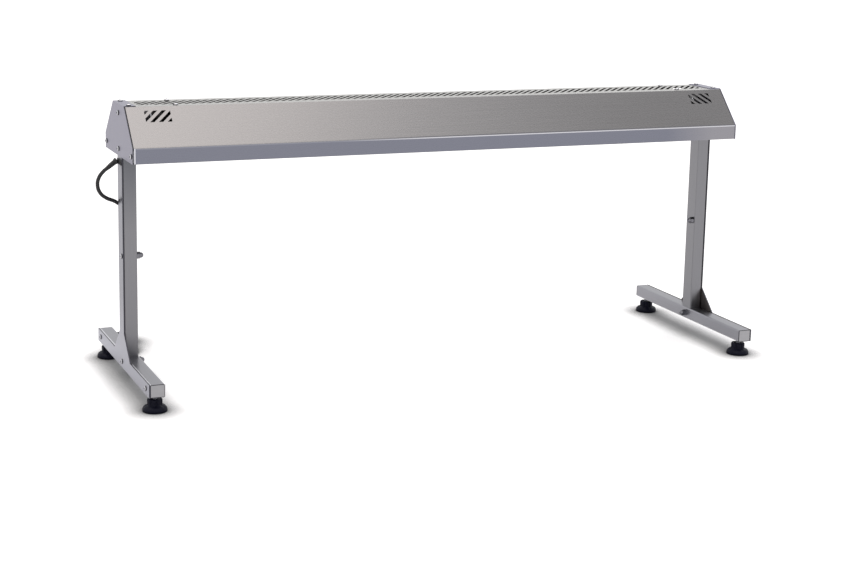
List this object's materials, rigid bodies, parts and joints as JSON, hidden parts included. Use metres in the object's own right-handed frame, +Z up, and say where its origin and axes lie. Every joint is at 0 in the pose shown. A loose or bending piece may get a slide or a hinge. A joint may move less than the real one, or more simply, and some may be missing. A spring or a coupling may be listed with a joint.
{
  "type": "food heat lamp",
  "caption": "Long slotted stainless hood on two footed posts with a quartz heater hung beneath it, for keeping plated food warm on a counter.",
  "frame": {"origin": "on the ground, in the middle of the four feet", "axes": "+X along the hood to the right, +Y from the front to the back, +Z up"},
  "size_m": [1.4515, 0.5913, 0.5957],
  "materials": {
    "hood_steel": "brushed stainless sheet, grain along the hood",
    "plate_steel": "brushed stainless plate, grain upright",
    "tube_steel": "brushed stainless box tube",
    "cap_steel": "stainless cap in the tube's end",
    "fastener_steel": "polished stainless",
    "insert_brass": "turned brass insert",
    "foot_nylon": "black moulded nylon",
    "stem_steel": "zinc-plated threaded rod",
    "heater_aluminium": "anodised extrusion with fine ribs along its length",
    "cover_aluminium": "anodised sheet",
    "knob_plastic": "black moulded plastic with plain white marks",
    "shaft_steel": "turned steel",
    "switch_plastic": "moulded heat-proof plastic",
    "loom_sleeve": "silicone sleeved wires",
    "reflector_aluminium": "polished aluminium sheet",
    "quartz": "clear quartz",
    "coil_wire": "resistance wire",
    "ceramic": "glazed steatite",
    "guard_wire": "dark enamelled wire",
    "hanger_steel": "black powder-coated strap",
    "gland_nylon": "black nylon gland",
    "cord_rubber": "black rubber mains flex",
    "moulded_rubber": "black moulded rubber",
    "pin_steel": "nickel-plated pins"
  },
  "bodies": {
    "root": {"canopy": "hood_steel", "canopy_lips": "hood_steel", "end_plate_left": "plate_steel", "end_plate_right": "plate_steel", "side_plate_left": "plate_steel", "side_plate_right": "plate_steel", "corner_angles": "plate_steel", "post_left": "tube_steel", "post_right": "tube_steel", "base_rail_left": "tube_steel", "base_rail_right": "tube_steel", "rail_end_caps": "cap_steel", "top_screws": "fastener_steel", "end_plate_screws": "fastener_steel", "clinch_nuts": "fastener_steel", "rail_screws": "fastener_steel", "through_bolts": "fastener_steel", "dome_nuts": "fastener_steel", "hanger_bolts": "fastener_steel", "spacer_tube": "fastener_steel", "foot_inserts": "insert_brass", "lamp_casing": "heater_aluminium", "control_casing": "heater_aluminium", "lamp_cover": "cover_aluminium", "control_cover": "cover_aluminium", "lamp_end_inner": "cover_aluminium", "lamp_end_outer": "cover_aluminium", "control_end_cap": "cover_aluminium", "control_partition": "cover_aluminium", "dial_plate": "cover_aluminium", "rotary_switch": "switch_plastic", "terminal_block": "switch_plastic", "wiring_loom": "loom_sleeve", "reflector": "reflector_aluminium", "quartz_tube_1": "quartz", "quartz_tube_2": "quartz", "quartz_tube_3": "quartz", "heating_coils": "coil_wire", "tube_holders": "ceramic", "wire_guards": "guard_wire", "hangers": "hanger_steel", "cable_gland": "gland_nylon", "supply_cord": "cord_rubber", "cord": "cord_rubber", "cord_hank": "cord_rubber", "cord_grommet": "moulded_rubber", "strain_relief": "moulded_rubber", "hank_tie": "moulded_rubber", "plug": "moulded_rubber", "plug_pins": "pin_steel"},
    "pad_front_left": {"foot_pad_front_left": "foot_nylon"},
    "stem_front_left": {"foot_stem_front_left": "stem_steel"},
    "pad_back_left": {"foot_pad_back_left": "foot_nylon"},
    "stem_back_left": {"foot_stem_back_left": "stem_steel"},
    "pad_front_right": {"foot_pad_front_right": "foot_nylon"},
    "stem_front_right": {"foot_stem_front_right": "stem_steel"},
    "pad_back_right": {"foot_pad_back_right": "foot_nylon"},
    "stem_back_right": {"foot_stem_back_right": "stem_steel"},
    "control_knob": {"knob": "knob_plastic", "knob_shaft": "shaft_steel"}
  },
  "joints": [
    {"name": "foot_height_front_left", "type": "slide", "parent": "root", "child": "pad_front_left", "axis": [0, 0, 1], "range_m": [-0.012, 0.007]},
    {"name": "stem_turn_front_left", "type": "hinge", "parent": "pad_front_left", "child": "stem_front_left", "pos_m": [-0.681, -0.21, 0.03], "axis": [0, 0, 1], "range_deg": [-2881, 1681]},
    {"name": "foot_height_back_left", "type": "slide", "parent": "root", "child": "pad_back_left", "axis": [0, 0, 1], "range_m": [-0.012, 0.007]},
    {"name": "stem_turn_back_left", "type": "hinge", "parent": "pad_back_left", "child": "stem_back_left", "pos_m": [-0.681, 0.21, 0.03], "axis": [0, 0, 1], "range_deg": [-2881, 1681]},
    {"name": "foot_height_front_right", "type": "slide", "parent": "root", "child": "pad_front_right", "axis": [0, 0, 1], "range_m": [-0.012, 0.007]},
    {"name": "stem_turn_front_right", "type": "hinge", "parent": "pad_front_right", "child": "stem_front_right", "pos_m": [0.681, -0.21, 0.03], "axis": [0, 0, 1], "range_deg": [-2881, 1681]},
    {"name": "foot_height_back_right", "type": "slide", "parent": "root", "child": "pad_back_right", "axis": [0, 0, 1], "range_m": [-0.012, 0.007]},
    {"name": "stem_turn_back_right", "type": "hinge", "parent": "pad_back_right", "child": "stem_back_right", "pos_m": [0.681, 0.21, 0.03], "axis": [0, 0, 1], "range_deg": [-2881, 1681]},
    {"name": "knob_turn", "type": "hinge", "parent": "root", "child": "control_knob", "pos_m": [-0.565, 0, 0.5], "axis": [0, 0, 1], "range_deg": [0, 270]}
  ],
  "couplings": [
    {"joint": "stem_turn_front_left", "follows": "foot_height_front_left", "rad_per_m": 4188.8},
    {"joint": "stem_turn_back_left", "follows": "foot_height_back_left", "rad_per_m": 4188.8},
    {"joint": "stem_turn_front_right", "follows": "foot_height_front_right", "rad_per_m": 4188.8},
    {"joint": "stem_turn_back_right", "follows": "foot_height_back_right", "rad_per_m": 4188.8}
  ]
}
